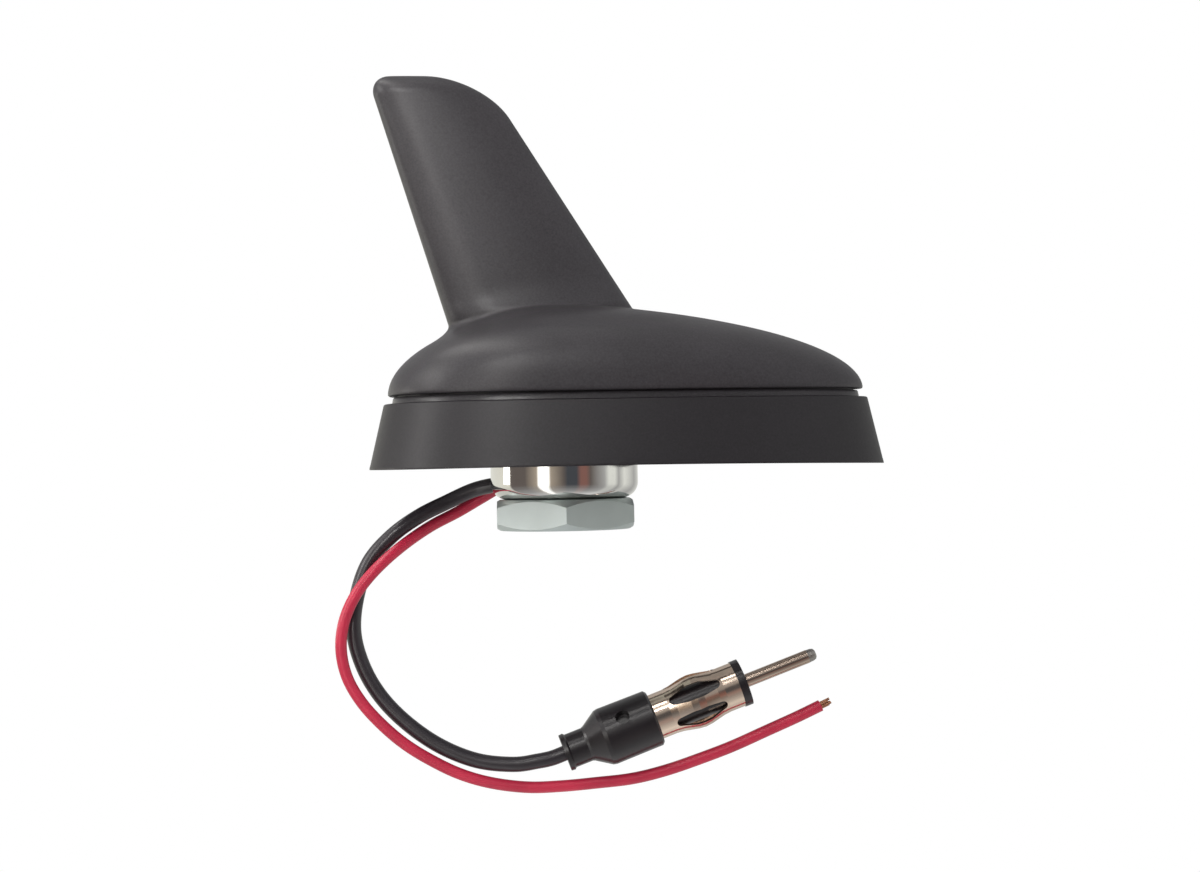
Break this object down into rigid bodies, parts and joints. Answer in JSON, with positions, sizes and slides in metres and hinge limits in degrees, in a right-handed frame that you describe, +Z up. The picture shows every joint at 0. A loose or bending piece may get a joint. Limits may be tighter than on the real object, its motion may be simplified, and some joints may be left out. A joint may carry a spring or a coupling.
{
  "type": "shark fin roof aerial",
  "caption": "Shark fin vehicle aerial: fin cover, tapered rubber skirt, hollow stud with cup washer and hex nut, coaxial lead with an aerial plug and a supply wire.",
  "frame": {"origin": "on the stud's axis, in the plane of the seat ring that rests on the vehicle's roof", "axes": "+X forward towards the nose, +Y to the vehicle's left, +Z up, away from the roof"},
  "size_m": [0.1228, 0.0638, 0.1591],
  "materials": {
    "soft_touch_cover": "matte dark grey soft-touch paint on a moulded plastic cover",
    "skirt_rubber": "matte dark grey rubber",
    "die_cast": "as-cast zinc alloy, satin",
    "bright_chrome": "mirror bright chrome plate",
    "zinc_plate": "zinc-plated steel, satin",
    "screw_steel": "plated steel",
    "board_green": "glass-fibre circuit board with green mask",
    "chip_black": "black moulded package",
    "tinned_steel": "tinned sheet steel",
    "copper": "bare copper",
    "grommet_rubber": "black rubber",
    "cable_black": "black extruded cable jacket with a low sheen",
    "wire_red": "red extruded wire insulation",
    "plug_black": "black moulded plastic, satin",
    "nickel_plate": "nickel-plated brass",
    "solder": "solder, dull grey"
  },
  "bodies": {
    "aerial": {"fin_cover": "soft_touch_cover", "base_gasket": "skirt_rubber", "base_casting": "die_cast", "cover_screws": "screw_steel", "amplifier_board": "board_green", "board_screws": "screw_steel", "amplifier_chip": "chip_black", "shield_can": "tinned_steel", "radiator_board": "board_green", "radiator_track": "copper", "loading_coil": "copper", "coax_ferrule": "tinned_steel", "supply_terminal": "tinned_steel", "cable_grommet": "grommet_rubber", "coax_cable": "cable_black", "supply_wire": "wire_red", "wire_strands": "copper", "plug_boot": "plug_black", "plug_sleeve": "nickel_plate", "plug_insulator": "plug_black", "plug_pin": "nickel_plate", "pin_solder": "solder"},
    "washer": {"cup_washer": "bright_chrome"},
    "nut": {"hex_nut": "zinc_plate"}
  },
  "joints": [
    {"name": "cup_slide", "type": "slide", "parent": "aerial", "child": "washer", "axis": [0, 0, -1], "range_m": [0, 0.0045]},
    {"name": "nut_turn", "type": "hinge", "parent": "washer", "child": "nut", "pos_m": [0, 0, -0.0106], "axis": [0, 0, -1], "range_deg": [0, 1080]}
  ],
  "couplings": [
    {"joint": "nut_turn", "follows": "cup_slide", "rad_per_m": 4188.8}
  ]
}
